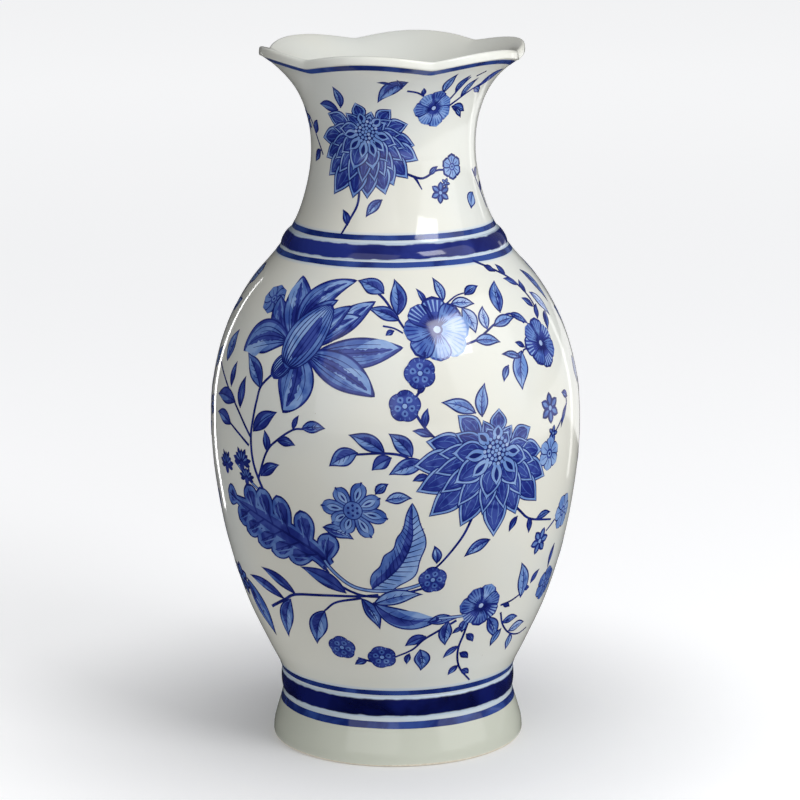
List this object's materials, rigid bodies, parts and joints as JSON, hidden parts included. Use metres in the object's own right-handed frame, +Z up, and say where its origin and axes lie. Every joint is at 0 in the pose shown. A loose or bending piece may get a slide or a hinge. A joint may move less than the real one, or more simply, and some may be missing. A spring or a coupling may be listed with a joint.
{
  "type": "baluster vase",
  "caption": "Baluster vase with a flared foot, raised bands, waisted neck and lobed mouth, painted in blue with flowers and leaves.",
  "frame": {"origin": "centre of the standing rim, on the surface that the vase stands on", "axes": "+Z up along the axis of the vase, -Y towards the side with the large dahlia and the lotus flower, +X to the right of that side"},
  "size_m": [0.174, 0.174, 0.33],
  "materials": {
    "ivory_glaze": "glossy",
    "cobalt_glaze": "glossy",
    "bare_porcelain": "matte"
  },
  "bodies": {
    "root": {"foot_ring": "ivory_glaze", "base_disc": "ivory_glaze", "foot_band": "cobalt_glaze", "lower_body": "ivory_glaze", "upper_body": "ivory_glaze", "shoulder_band": "cobalt_glaze", "neck": "ivory_glaze", "mouth": "ivory_glaze"}
  },
  "joints": []
}
